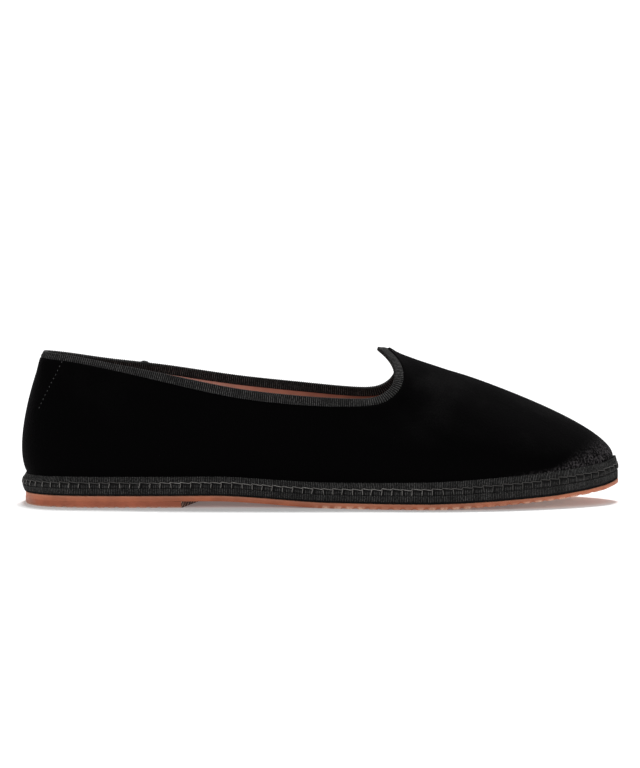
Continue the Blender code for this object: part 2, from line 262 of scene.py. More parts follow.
def find_middle():
    reach = sole_reach(read_sections(round_places(SOLID_COLUMNS)))
    return (reach.min() + reach.max()) / 2


MIDDLE = find_middle()


def plan(places):
    """Plan of the welt's outermost line, (n, 2)."""
    table = read_sections(places)
    return np.stack([(table["along"] - 0.5) * LENGTH, sole_reach(table) - MIDDLE], axis=1)


def plan_normal(places):
    """Unit normals of the outline, out of the shoe: the step from just before each place to just after, turned."""
    step = 0.05
    ahead = plan(places + step) - plan(places - step)
    return unit(np.stack([ahead[:, 1], -ahead[:, 0]], axis=1))


def inset_plan(places, distance):
    return plan(places) - plan_normal(places) * np.reshape(distance, (-1, 1))


def ring(places, distance, height):
    """Points inset from the outline by distance, at a height that is a function of x."""
    flat = inset_plan(places, distance)
    return np.column_stack([flat, height(flat[:, 0])])


def underside(x):
    """Height of the outsole's lower face: level over the heel lift, down through the arch, up at the toe."""
    back = x + LENGTH / 2
    arch = HEEL_LIFT * (1 - change((ARCH_START, ARCH_END), back))
    return arch + TOE_SPRING * read_table(SPRING, (back - SPRING_START) / (LENGTH - SPRING_START))


def sole_top(x):
    return underside(x) + OUTSOLE * read_table(SOLE_THICKNESS, along(x))


def band_height(x):
    return BAND_HEIGHT * read_table(BAND, along(x))


def midsole_top(x):
    return sole_top(x) + CLEARANCE + MIDSOLE / BAND_HEIGHT * band_height(x)


def band_top(x):
    return sole_top(x) + CLEARANCE + band_height(x)


def upper_foot(x):
    return midsole_top(x) + CLEARANCE


def collar_line(places):
    """The upper's outer edge at the collar, (n, 3)."""
    table = read_sections(places)
    x = OPENING_SETBACK - LENGTH / 2 + table["open_along"] * OPENING_LENGTH
    y = table["open_out"] * OPENING_WIDTH / 2 - MIDDLE
    rise = change(COLLAR_RISE, table["open_along"])
    z = table["open_up"] * (BACK_HEIGHT + (THROAT_HEIGHT - BACK_HEIGHT) * rise)
    return np.stack([x, y, z], axis=1)


def wall_lines(places, steps):
    """The upper's outer face as (steps, n, 3): each line is a cubic curve that leaves the top of the welt upwards,
    swollen out, and meets the collar along the slope of the last."""
    table = read_sections(places)
    start = ring(places, WELT_STAND, band_top)
    end = collar_line(places)
    height = (end - start)[:, 2]
    out = np.column_stack([plan_normal(places), np.zeros(len(places))])
    up = np.array([0.0, 0.0, 1.0])
    swell = (table["swell"] * WELT_STAND)[:, None]
    leave = start + out * swell + up * (table["rise"] * height)[:, None]
    flat = (start - end) * np.array([1.0, 1.0, 0.0])
    meet = end + flat * table["reach"][:, None] + out * swell / 2 - up * (table["fall"] * height)[:, None]
    t = np.linspace(0.0, 1.0, steps)[:, None, None]
    return (
        (1 - t) ** 3 * start + 3 * (1 - t) ** 2 * t * leave + 3 * (1 - t) * t**2 * meet + t**3 * end
    )


def wall_length(places):
    """Length of each wall line from the collar down to the welt."""
    lines = wall_lines(places, 61)
    return np.linalg.norm(np.diff(lines, axis=0), axis=2).sum(axis=0)


def wall_points(places, distances, steps=161):
    """Points of the outer face at these distances, (rows, n), from the collar down each line. Every line is read by
    its travelled length, and all lines are laid end to end so that one interpolation reads them together."""
    lines = wall_lines(places, steps)[::-1]
    pieces = np.linalg.norm(np.diff(lines, axis=0), axis=2)
    gone = np.vstack([np.zeros(len(places)), np.cumsum(pieces, axis=0)])
    apart = np.arange(len(places)) * (gone[-1].max() * 2)
    known = (gone + apart).T.ravel()
    wanted = (np.clip(distances, 0.0, gone[-1]) + apart).T.ravel()
    found = [np.interp(wanted, known, lines[:, :, axis].T.ravel()) for axis in range(3)]
    shape = (len(places), len(distances))
    return np.stack([axis.reshape(shape).T for axis in found], axis=2)


def wall_frame(places, distances):
    """Points and outward unit normals of the outer face: the normal crosses a small step round the shoe with a small
    step down the wall."""
    aside = 0.02
    below = 0.0004
    point = wall_points(places, distances)
    round_step = wall_points(places + aside, distances) - wall_points(places - aside, distances)
    down_step = wall_points(places, distances + below) - wall_points(places, np.maximum(distances - below, 0.0))
    return point, unit(np.cross(down_step, round_step))


def hem_distance(places):
    """Width of the tape's leg below the collar's edge."""
    return BINDING_WIDTH * read_table(BINDING, read_sections(places)["open_along"])


def edge_pinch(places, distances):
    """How far the sewn edge is pressed together from either face, most of all at the throat's peak."""
    throat = bell(places - THROAT_PLACE, 0.9)
    return (EDGE_PINCH + THROAT_PINCH * throat) * bell(distances, PINCH_REACH)


def even_places(line, count):
    """Places at which this closed line is cut in count equal steps, and its whole length."""
    rough = np.linspace(0.0, ROWS, LENGTH_SAMPLES + 1)
    gone = np.append(0.0, np.cumsum(np.linalg.norm(np.diff(line(rough), axis=0), axis=1)))
    return np.interp(np.arange(count) * gone[-1] / count, gone, rough), gone[-1]


# Meshes


def grid_shell(grid, down_closed, round_closed, u=None, v=None):
    """A grid of points, (rows, columns, 3), as quads. u and v are the coordinates of its columns and rows, with one
    value more where the grid closes on itself."""
    rows, columns = grid.shape[:2]
    row_cells = rows if down_closed else rows - 1
    column_cells = columns if round_closed else columns - 1
    u = np.linspace(0.0, 1.0, column_cells + 1) if u is None else u
    v = np.linspace(0.0, 1.0, row_cells + 1) if v is None else v
    r, c = np.meshgrid(np.arange(row_cells), np.arange(column_cells), indexing="ij")
    corners = ((r, c), (r, c + 1), (r + 1, c + 1), (r + 1, c))
    faces = np.stack([(rr % rows) * columns + cc % columns for rr, cc in corners], axis=2)
    uv = np.stack([np.stack([u[cc], v[rr]], axis=2) for rr, cc in corners], axis=2)
    return {"points": grid.reshape(-1, 3), "faces": faces.reshape(-1, 4), "uv": uv.reshape(-1, 4, 2)}


def strip_cap(shell, first, count):
    """Closes a ring of count points that starts at this index by quads across it, from each point to the one that
    faces it. The last strip at either end is folded to a triangle's width."""
    half = np.arange(count // 2)
    quads = np.stack([half, half + 1, (count - half - 1) % count, (count - half) % count], axis=1)
    flat = shell["points"][first + quads][:, :, :2]
    return {"points": np.zeros((0, 3)), "faces": first + quads, "uv": flat, "shares": True}


def join_shells(shells):
    """One shell of many. A cap shares the points of the shell before it."""
    points, faces, uv = [], [], []
    start = 0
    total = 0
    for shell in shells:
        if not shell.get("shares"):
            start = total
        points.append(shell["points"])
        faces.append(shell["faces"] + start)
        uv.append(shell["uv"])
        total += len(shell["points"])
    return {"points": np.vstack(points), "faces": np.vstack(faces), "uv": np.vstack(uv)}


def volume(points, faces):
    """Six times the signed volume inside the faces."""
    a, b, c, d = (points[faces[:, corner]] for corner in range(4))
    return np.einsum("ij,ij->", a, np.cross(b, c)) + np.einsum("ij,ij->", a, np.cross(c, d))


def make_piece(name, shells, material, replaced=(), sharp=50.0, fields=None):
    """Turns shells into one finished object that rides on the shoe."""
    solids = []
    for shell in shells:
        if shell.get("shares"):
            solids[-1].append(shell)
        else:
            solids.append([shell])
    turned = []
    for solid in solids:
        joined = join_shells(solid)
        if volume(joined["points"], joined["faces"]) < 0:
            joined["faces"] = joined["faces"][:, ::-1]
            joined["uv"] = joined["uv"][:, ::-1]
        turned.append(joined)
    whole = join_shells(turned)
    quads = whole["faces"]
    doubled = quads == np.roll(quads, -1, axis=1)
    plain = ~doubled.any(axis=1)
    faces = quads.tolist()
    corners = whole["uv"].reshape(-1, 2)
    if not plain.all():
        keep = ~doubled
        faces = [face[mask].tolist() for face, mask in zip(quads, keep)]
        corners = whole["uv"][keep]
    mesh = bpy.data.meshes.new(name)
    mesh.from_pydata(whole["points"].tolist(), [], faces)
    layer = mesh.uv_layers.new(name="cloth")
    layer.data.foreach_set("uv", corners.astype(np.float32).ravel())
    for field, values in (fields or {}).items():
        attribute = mesh.attributes.new(field, "FLOAT", "POINT")
        attribute.data.foreach_set("value", np.asarray(values, np.float32).ravel())
    mesh.materials.append(material)
    mesh.shade_smooth()
    mesh.set_sharp_from_angle(angle=math.radians(sharp))
    mesh.validate()
    piece = bpy.data.objects.new(name, mesh)
    bpy.context.scene.collection.objects.link(piece)
    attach(piece, "root")
    if replaced:
        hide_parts(*replaced)
    return piece


def ribbing(columns):
    """Ribs from 0 to 1: one rib has four columns, at its crest, its flank, its valley and its other flank."""
    return 0.5 + 0.5 * np.cos(np.arange(columns) * math.pi / 2)


def thread_rings(paths, ahead, sideways, swell):
    """Rings of points round paths, (..., 3): each is its path's point plus swell times the sideways vector and its
    cross with the vector ahead, turned round."""
    first = unit(sideways - ahead * np.sum(sideways * ahead, axis=-1, keepdims=True))
    second = np.cross(ahead, first)
    turn = (np.arange(THREAD_SIDES) * 2 * math.pi / THREAD_SIDES)[:, None]
    return paths[..., None, :] + swell * (first[..., None, :] * np.cos(turn) + second[..., None, :] * np.sin(turn))


def tubes(paths, sideways, radius):
    """Round threads along many open paths, (m, k, 3), whose ends shrink to a point's width."""
    swell = np.full((paths.shape[1], 1, 1), radius)
    swell[[0, -1]] *= 0.25
    return thread_rings(paths, unit(np.gradient(paths, axis=1)), sideways, swell)


def thread_shells(rings):
    """One shell for each tube of rings, (m, k, sides, 3), closed by a cap at either end."""
    shells = []
    sides = rings.shape[2]
    for tube in rings:
        shell = grid_shell(tube, False, True)
        shells += [shell, strip_cap(shell, 0, sides), strip_cap(shell, (len(tube) - 1) * sides, sides)]
    return shells


# Materials


def add_node(tree, kind, values=None, **settings):
    """A node of this kind with its settings, whose inputs take values or the outputs of other nodes."""
    node = tree.nodes.new(kind)
    for key, value in settings.items():
        setattr(node, key, value)
    for key, value in (values or {}).items():
        if isinstance(value, bpy.types.NodeSocket):
            tree.links.new(value, node.inputs[key])
        else:
            node.inputs[key].default_value = value
    return node


def math_node(tree, operation, first, second=0.0, clamp=False):
    return add_node(tree, "ShaderNodeMath", {0: first, 1: second}, operation=operation, use_clamp=clamp).outputs[0]


def mix_colour(tree, share, first, second, blend="MIX"):
    node = add_node(tree, "ShaderNodeMix", {0: share, 6: first, 7: second}, data_type="RGBA", blend_type=blend)
    return node.outputs[2]


def noise(tree, vector, scale, detail=2.0, roughness=0.5):
    values = {"Vector": vector, "Scale": scale, "Detail": detail, "Roughness": roughness}
    return add_node(tree, "ShaderNodeTexNoise", values).outputs["Fac"]


def spread_range(tree, value, low, high, to_low=0.0, to_high=1.0):
    values = {"Value": value, "From Min": low, "From Max": high, "To Min": to_low, "To Max": to_high}
    return add_node(tree, "ShaderNodeMapRange", values, interpolation_type="SMOOTHSTEP").outputs[0]


def new_group(name, inputs):
    """An empty shader group that gives colour, roughness and height; inputs are (name, kind, default)."""
    tree = bpy.data.node_groups.new(name, "ShaderNodeTree")
    for label, kind, value in inputs:
        socket = tree.interface.new_socket(label, in_out="INPUT", socket_type=kind)
        if value is not None:
            socket.default_value = value
    for label, kind in OUTPUTS:
        tree.interface.new_socket(label, in_out="OUTPUT", socket_type=kind)
    return tree, tree.nodes.new("NodeGroupInput").outputs, tree.nodes.new("NodeGroupOutput").inputs


def put_out(tree, give, colour, roughness, height):
    for label, value in (("Colour", colour), ("Roughness", roughness), ("Height", height)):
        tree.links.new(value, give[label])
    return tree


FLOAT, COLOUR, VECTOR = "NodeSocketFloat", "NodeSocketColor", "NodeSocketVector"
OUTPUTS = [("Colour", COLOUR), ("Roughness", FLOAT), ("Height", FLOAT)]


def nap_group():
    """Velvet pile. Broad noise says how far the pile was stroked up, and the painted sheen mask lightens it by that
    much where the face turns up, as painted sheen;
    fine noise speckles it. The rub-and-sheen mask shows flattened pile and painted sheen in bright flecks."""
    tree, take, give = new_group(
        "Velvet Nap",
        [("Vector", VECTOR, None), ("Deep", COLOUR, None), ("Sheen Lit", COLOUR, None), ("Rubbed Sheen", COLOUR, None),
         ("Sheen Mask", FLOAT, 0.0), ("Rub And Sheen", FLOAT, 0.0), ("Pile", FLOAT, 2400.0)],
    )
    broad = noise(tree, take["Vector"], STROKES_SCALE, 3.0, 0.6)
    fine = noise(tree, take["Vector"], take["Pile"], 2.0, 0.7)
    clump = noise(tree, take["Vector"], CLUMPS_SCALE, 3.0, 0.7)
    stroke = spread_range(tree, broad, 0.44, 0.66, 0.05, 1.0)
    # Painted sheen: lighter where the face turns up, in broad patches
    sheen_patches = math_node(tree, "MULTIPLY", take["Sheen Mask"], stroke)
    speckle = spread_range(tree, fine, 0.38, 0.66, 0.25, 1.0)
    painted_sheen = math_node(tree, "MULTIPLY", sheen_patches, speckle)
    flecks = spread_range(tree, clump, 0.40, 0.66)
    # Rubbed nap and painted sheen, in bright flecks
    paled = math_node(tree, "MULTIPLY", math_node(tree, "MULTIPLY", take["Rub And Sheen"], flecks), speckle, True)
    pile = mix_colour(tree, painted_sheen, take["Deep"], take["Sheen Lit"])
    colour = mix_colour(tree, paled, pile, take["Rubbed Sheen"])
    roughness = spread_range(tree, paled, 0.0, 1.0, 1.0, 0.75)
    return put_out(tree, give, colour, roughness, math_node(tree, "MULTIPLY", clump, 1.4))


def rib_group():
    """Ribbed tape. The rib field says crest or valley: the crest colour is painted highlight on the ribs and the
    valley colour painted shade between them. Thread noise, stretched along the rib, breaks its shine, and broad noise
    dulls some stretches of it."""
    tree, take, give = new_group(
        "Tape Ribs",
        [("Cloth", VECTOR, None), ("Rib", FLOAT, 0.0), ("Valley", COLOUR, None), ("Crest", COLOUR, None)],
    )
    scaled = add_node(tree, "ShaderNodeVectorMath", {0: take["Cloth"], 1: THREADS_SCALE}, operation="MULTIPLY")
    thread = noise(tree, scaled.outputs[0], 1.0, 1.0, 0.6)
    blotch = noise(tree, take["Cloth"], BLOTCHES_SCALE, 3.0, 0.6)
    crest = math_node(tree, "POWER", take["Rib"], 5.0)
    crest = math_node(tree, "MULTIPLY", crest, spread_range(tree, thread, 0.34, 0.60, 0.25, 1.0))
    crest = math_node(tree, "MULTIPLY", crest, spread_range(tree, blotch, 0.30, 0.66, 0.45, 1.0))
    colour = mix_colour(tree, crest, take["Valley"], take["Crest"])
    return put_out(tree, give, colour, spread_range(tree, crest, 0.0, 1.0, 0.95, 0.6), thread)


def grain_group():
    """Leather or rubber. Fine noise makes the grain, broad noise mottles the colour, and the wear-and-highlight mask
    pales it with real wear and painted highlight.
    """
    tree, take, give = new_group(
        "Leather Grain",
        [("Vector", VECTOR, None), ("Base", COLOUR, None), ("Dark", COLOUR, None), ("Pale", COLOUR, None),
         ("Wear And Highlight", FLOAT, 0.0), ("Shade", FLOAT, 0.0), ("Grain", FLOAT, 900.0), ("Mottle", FLOAT, 90.0)],
    )
    mottle = noise(tree, take["Vector"], take["Mottle"], 4.0, 0.6)
    fine = noise(tree, take["Vector"], take["Grain"], 3.0, 0.6)
    stained = mix_colour(tree, spread_range(tree, mottle, 0.35, 0.68), take["Dark"], take["Base"])
    deep = mix_colour(tree, 1.0, stained, (0.10, 0.07, 0.06, 1.0), "MULTIPLY")
    stained = mix_colour(tree, take["Shade"], stained, deep)
    worn = math_node(tree, "MULTIPLY", take["Wear And Highlight"], spread_range(tree, fine, 0.30, 0.62, 0.35, 1.0), True)
    colour = mix_colour(tree, worn, stained, take["Pale"])
    return put_out(tree, give, colour, spread_range(tree, fine, 0.2, 0.8, 0.5, 0.75), fine)


def start_material(name):
    material = bpy.data.materials.new(name)
    material.use_nodes = True
    tree = material.node_tree
    return material, tree, tree.nodes["Principled BSDF"]


def plug_group(tree, group, shader, values, bump, distance):
    """Places the group and feeds its colour, roughness and height to the shader."""
    node = add_node(tree, "ShaderNodeGroup", values, node_tree=group)
    tree.links.new(node.outputs["Colour"], shader.inputs["Base Color"])
    tree.links.new(node.outputs["Roughness"], shader.inputs["Roughness"])
    relief = {"Height": node.outputs["Height"], "Strength": bump, "Distance": distance}
    tree.links.new(add_node(tree, "ShaderNodeBump", relief).outputs[0], shader.inputs["Normal"])


def object_vector(tree):
    return tree.nodes.new("ShaderNodeTexCoord").outputs["Object"]


def cloth_vector(tree):
    return add_node(tree, "ShaderNodeUVMap", uv_map="cloth").outputs[0]


def field(tree, name):
    return add_node(tree, "ShaderNodeAttribute", attribute_name=name).outputs["Fac"]


def shared_group(name, build):
    return bpy.data.node_groups.get(name) or build()


def velvet_material(colours):
    material, tree, shader = start_material("black_velvet")
    values = {
        "Vector": object_vector(tree),
        "Deep": (*colours.velvet, 1.0),
        "Sheen Lit": (*colours.sheen_velvet, 1.0),
        "Rubbed Sheen": (*colours.rubbed_sheen_velvet, 1.0),
        "Sheen Mask": field(tree, "painted_sheen_mask"),
        "Rub And Sheen": field(tree, "rub_and_sheen"),
    }
    plug_group(tree, shared_group("Velvet Nap", nap_group), shader, values, 0.6, 0.0003)
    shader.inputs["Specular IOR Level"].default_value = 0.02
    shader.inputs["Sheen Weight"].default_value = 0.02
    shader.inputs["Sheen Roughness"].default_value = 0.35
    shader.inputs["Sheen Tint"].default_value = (0.75, 0.70, 0.76, 1.0)
    return material


def ribbed_material(name, valley, crest, specular):
    material, tree, shader = start_material(name)
    values = {
        "Cloth": cloth_vector(tree),
        "Rib": field(tree, "rib"),
        "Valley": (*valley, 1.0),
        "Crest": (*crest, 1.0),
    }
    plug_group(tree, shared_group("Tape Ribs", rib_group), shader, values, 0.5, 0.0001)
    shader.inputs["Specular IOR Level"].default_value = specular
    return material


def tape_material(name, colours):
    # Painted highlight on the rib crests, painted shade in the valleys
    return ribbed_material(name, colours.tape_shaded_valley, colours.tape_lit_crest, 0.25)


def thread_material(name, colour):
    """Its rib field says how bright the thread is."""
    return ribbed_material(name, [part * 0.16 for part in colour], colour, 0.5)


def leather_material(name, base, dark, pale, grain, mottle, coat):
    """Leather or rubber of a base colour that is mottled down to its dark share and paled to the pale colour by wear
    and painted highlight. grain and mottle are the scales of the noise. Its wear-and-highlight and shade fields are 0
    where a piece has none; the shade field darkens it as painted shade."""
    material, tree, shader = start_material(name)
    values = {
        "Vector": object_vector(tree),
        "Base": (*base, 1.0),
        "Dark": (*[part * dark for part in base], 1.0),
        "Pale": (*pale, 1.0),
        "Grain": grain,
        "Mottle": mottle,
        "Wear And Highlight": field(tree, "wear_and_highlight"),
        "Shade": field(tree, "shade"),
    }
    plug_group(tree, shared_group("Leather Grain", grain_group), shader, values, 0.4, 0.00015)
    shader.inputs["Specular IOR Level"].default_value = 0.35
    shader.inputs["Coat Weight"].default_value = coat
    shader.inputs["Coat Roughness"].default_value = 0.45
    return material


# Pieces


def crease_depth(points):
    """Depth of the soft creases. Each is a bell across its line: depth · exp(-(distance / half width)²), which fades
    over its ends."""
    depth = np.zeros(points.shape[:-1])
    x = along(points[..., 0])
    z = points[..., 2] / MM
    side = np.sign(points[..., 1] + MIDDLE)
    scale = LENGTH / MM
    for crease_side, x0, z0, x1, z1, width, deep in CREASES:
        run = np.array([(x1 - x0) * scale, z1 - z0])
        length = np.linalg.norm(run)
        run = run / length
        dx = (x - x0) * scale
        dz = z - z0
        gone = dx * run[0] + dz * run[1]
        off = dz * run[0] - dx * run[1]
        over = np.maximum(0.0, np.maximum(-gone, gone - length))
        depth += deep * MM * bell(off, width) * bell(over, 1.6 * width) * (side * crease_side >= 0)
    return depth


def make_upper(look, colours):
    """Velvet layer: rows of the outer face from the collar to the welt, then straight down inside the welt, and home
    along its inner face. Under the collar tape the pile is pressed in, and past the tape it swells."""
    places = round_places(UPPER_COLUMNS)
    whole = wall_length(places)
    hem = hem_distance(places)
    top = np.array([0.0, 0.4, 0.75, 0.93, 1.0, 1.08, 1.18, 1.32, 1.5])[:, None] * hem
    below = top[-1] + np.linspace(0.0, 1.0, UPPER_ROWS)[1:, None] * (whole - top[-1])
    distances = np.vstack([top, below])
    point, normal = wall_frame(places, distances)
    past = (distances - hem) / MM
    swell = smooth_step((past + 0.3) / 0.9) * (look.pressed_pile + look.pile_lip)
    swell = swell - look.pressed_pile - look.pile_lip * smooth_step((past - 0.9) / 7.0)
    swell = swell + THROAT_BEAD * bell(places - THROAT_PLACE, 1.3) * bell(past - 0.7, 0.9)
    above = whole - distances
    settle = smooth_step(above / (6 * MM))
    swell = swell * settle - edge_pinch(places, distances)
    swell = swell - crease_depth(point) * settle * smooth_step(past / 5)
    swell = swell - toe_gathers(places, above) * look.gather_depth
    outer = point + normal * swell[..., None]
    thick = look.velvet_thickness
    foot = ring(places, WELT_STAND + 0.1 * MM, upper_foot)
    foot_inner = ring(places, WELT_STAND + thick, upper_foot)
    inner_rows = np.array([*range(len(distances) - 1, 9, -9), 6, 3, 0])
    inner = point[inner_rows] - normal[inner_rows] * thick
    grid = np.concatenate([outer, foot[None], foot_inner[None], inner])
    # Rubbed nap and painted sheen round the toe
    rub_and_sheen = np.zeros(grid.shape[:2])
    rub_and_sheen[: len(outer)] = rub_and_sheen_mask(point, above)
    # Painted sheen mask: the pile is lit up where the face turns upwards, towards the light from above
    painted_sheen_mask = np.zeros(grid.shape[:2])
    painted_sheen_mask[: len(outer)] = smooth_step((normal[..., 2] - 0.30) / 0.6)
    shell = grid_shell(grid, True, True, np.linspace(0.0, 0.6, UPPER_COLUMNS + 1))
    fields = {"rub_and_sheen": rub_and_sheen, "painted_sheen_mask": painted_sheen_mask}
    return make_piece("velvet_upper", [shell], velvet_material(colours), ["upper"], 80.0, fields)


def toe_gathers(places, above):
    """Small puckers where the toe's velvet is drawn into the welt: waves round the toe that fade up the wall and
    towards the sides."""
    near = bell(places - THROAT_PLACE, 3.6, 4)
    wave = np.sin(places * 9.7) * 0.6 + np.sin(places * 15.3 + 1.1) * 0.4
    return near * wave * bell(above, 6.5 * MM) * smooth_step(above / (0.8 * MM))


def rub_and_sheen_mask(point, above):
    """Where the nap is rubbed light and sheen is painted on it: a line along the welt in front that grows to a patch
    round the tip of the toe.
    """
    share = along(point[..., 0])
    tall = PATCH_TALL[0] + (PATCH_TALL[1] - PATCH_TALL[0]) * np.interp(share, PATCH_GROWS, (0.0, 1.0)) ** 1.15
    return change(TOE_RUB_AND_SHEEN, share) * bell(above, tall)


def make_lining(look, colours):
    """Leather layer behind the velvet, from under the tape's inner leg down to the sock."""
    places = round_places(LINING_COLUMNS)
    whole = wall_length(places)
    shares = np.concatenate([[0.004], np.linspace(0.02, 1.0, 42)])
    distances = shares[:, None] * whole
    point, normal = wall_frame(places, distances)
    front = look.velvet_thickness + 0.05 * MM
    feet = [ring(places, WELT_STAND + depth, upper_foot)[None] for depth in (WALL, front)]
    inner = point - normal * (WALL - edge_pinch(places, distances))[..., None]
    outer_rows = np.arange(0, len(shares), 6)[::-1]
    outer = point[outer_rows] - normal[outer_rows] * front
    shell = grid_shell(np.concatenate([inner, *feet, outer]), True, True)
    x = shell["points"][:, 0]
    wear_and_highlight = 0.85 * (1 - change(LINING_WORN, x))
    shade = 0.38 * change(LINING_SHADED, x) + 0.50 * change(LINING_DARK, x)
    material = leather_material("lining_leather", colours.lining, 0.72, colours.worn_lining, 1400.0, 60.0, 0.05)
    return make_piece("lining", [shell], material, (), 60.0, {"wear_and_highlight": wear_and_highlight, "shade": shade})


def make_collar_tape(look, colours):
    """Ribbed tape folded over the topline. Its ribs stand square to the edge: for each distance down the leg the place
    is shifted until the step from the edge has no part along it."""
    columns = 4 * round(even_places(collar_line, 4)[1] / look.collar_rib)
    places, length = even_places(collar_line, columns)
    step = 0.02
    start = collar_line(places)
    ahead = collar_line(places + step) - collar_line(places - step)
    speed = np.linalg.norm(ahead, axis=1) / (2 * step)
    ahead = unit(ahead)
    hem = hem_distance(places)
    pinch = edge_pinch(places, 0.0)

    def leg(share):
        distances = (share * hem)[None]
        shifted = places
        for _ in range(3):
            slip = np.sum((wall_points(shifted, distances)[0] - start) * ahead, axis=1)
            shifted = shifted - np.clip(slip / speed, -0.12, 0.12)
        point, normal = wall_frame(shifted, distances)
        return point[0], normal[0], edge_pinch(places, share * hem)

    ribs = ribbing(columns)
    join = bell(start[:, 0] - TAPE_JOIN_AT, 1.5 * MM, 4) * (start[:, 1] > 0)
    proud = look.tape_thickness + look.rib_depth * ribs + join * TAPE_JOIN_RISE
    steps = ((1.0, 0.05), (0.985, 0.6), (0.93, 0.95), (0.75, 1.0), (0.5, 1.05), (0.25, 1.0), (0.06, 1.0))
    legs = [leg(share) for share, _ in steps]
    edge, edge_normal, _ = leg(0.0)
    over = unit(edge - legs[-2][0])

    def outside(which, height):
        """The outer leg's row of this number, raised off the velvet by the height."""
        point, normal, pressed = legs[which]
        return point + normal * (height - pressed)[:, None]

    def inside(which, height):
        """The inner leg's row, raised off the lining."""
        point, normal, pressed = legs[which]
        return point - normal * (WALL + height - pressed)[:, None]

    outer = [outside(which, share * proud) for which, (_, share) in enumerate(steps)]
    inner = [inside(which, share * proud) for which, (_, share) in enumerate(steps)]
    half = WALL / 2 - pinch
    fold = []
    for angle in np.radians([12, 36, 60, 90, 120, 144, 168]):
        wide = (half + proud) * math.copysign(abs(math.cos(angle)) ** 0.75, math.cos(angle))
        tall = 1.15 * proud * abs(math.sin(angle)) ** 0.75
        fold.append(edge + edge_normal * (wide - WALL / 2)[:, None] + over * tall[:, None])
    thin = 0.02 * MM
    back = [inside(which, thin) for which in (0, 3, 6)]
    front = [outside(which, thin) for which in (6, 3, 0)]
    middle = [
        edge - edge_normal * (WALL - pinch)[:, None] + over * thin * 3,
        edge - edge_normal * pinch[:, None] + over * thin * 3,
    ]
    grid = np.stack(outer + fold + inner[::-1] + back + middle + front)
    across = np.arange(len(grid) + 1) * 0.0006
    shell = grid_shell(grid, True, True, np.linspace(0.0, length, columns + 1), across)
    rib = np.broadcast_to(COLLAR_SHINE * ribs, grid.shape[:2])
    material = tape_material("collar_grosgrain", colours)
    return make_piece("collar_tape", [shell], material, ["collar_binding"], 60.0, {"rib": rib})


def sole_places(look):
    """Places round the sole, four to a rib, and the outline's length."""
    ribs = round(even_places(plan, 4)[1] / look.sole_rib)
    return even_places(plan, 4 * ribs)


def midsole_inset(share, x):
    """Inset of the lower tier's face at this share of its height: least at its top, drawn in over the sole."""
    return BAND_EDGE + WELT_BULGE * heel_share(x) * MIDSOLE_BULGE * (1 - share) ** 1.5


def welt_inset(share, x):
    """Inset of the upper tier's face: least at its foot, rounded in towards the velvet."""
    bulge = WELT_BULGE * (TOE_BULGE + HEEL_BULGE * heel_share(x))
    return BAND_EDGE + bulge * np.clip(share, 0.0, 1.0) ** 1.75


def tier_grid(places, profile, face, low, high, ribs, depth):
    """Rings of one tier. Each row of the profile says share of the height, extra inset and share of the ribs."""
    x = plan(places)[:, 0]
    rings = []
    for share, extra, ribbed in profile:
        flat = inset_plan(places, face(share, x) + extra + depth * (1 - ribs * ribbed))
        rings.append(np.column_stack([flat, low(x) + share * (high(x) - low(x))]))
    return rings


def make_midsole(look, colours):
    """Lower tier: a plate whose side is wrapped in ribbed tape, widest near its top and tucked in over the sole."""
    places, length = sole_places(look)
    ribs = ribbing(len(places))
    profile = [(0.0, 0.25 * MM, 0.0)]
    profile += [(share, 0.0, 1.0) for share in (0.03, 0.12, 0.27, 0.42, 0.58, 0.73, 0.85)]
    profile += [(0.93, 0.06 * MM, 0.8), (0.98, 0.25 * MM, 0.4), (1.0, 0.6 * MM, 0.0)]
    low = lambda x: sole_top(x) + CLEARANCE / 3
    grid = np.stack(tier_grid(places, profile, midsole_inset, low, midsole_top, ribs, look.rib_depth))
    count = len(places)
    across = np.arange(len(grid)) * 0.0004
    shell = grid_shell(grid, False, True, np.linspace(0.0, length, count + 1), across)
    caps = [strip_cap(shell, 0, count), strip_cap(shell, (len(grid) - 1) * count, count)]
    # Painted shadow: the ribs fade to the dark valley colour along the foot of the tier, above the sole
    rib = ribs * change((0.08, 0.28), np.array([row[0] for row in profile])[:, None])
    material = tape_material("sole_grosgrain", colours)
    return make_piece("midsole_tape", [shell, *caps], material, ["midsole"], 50.0, {"rib": rib})


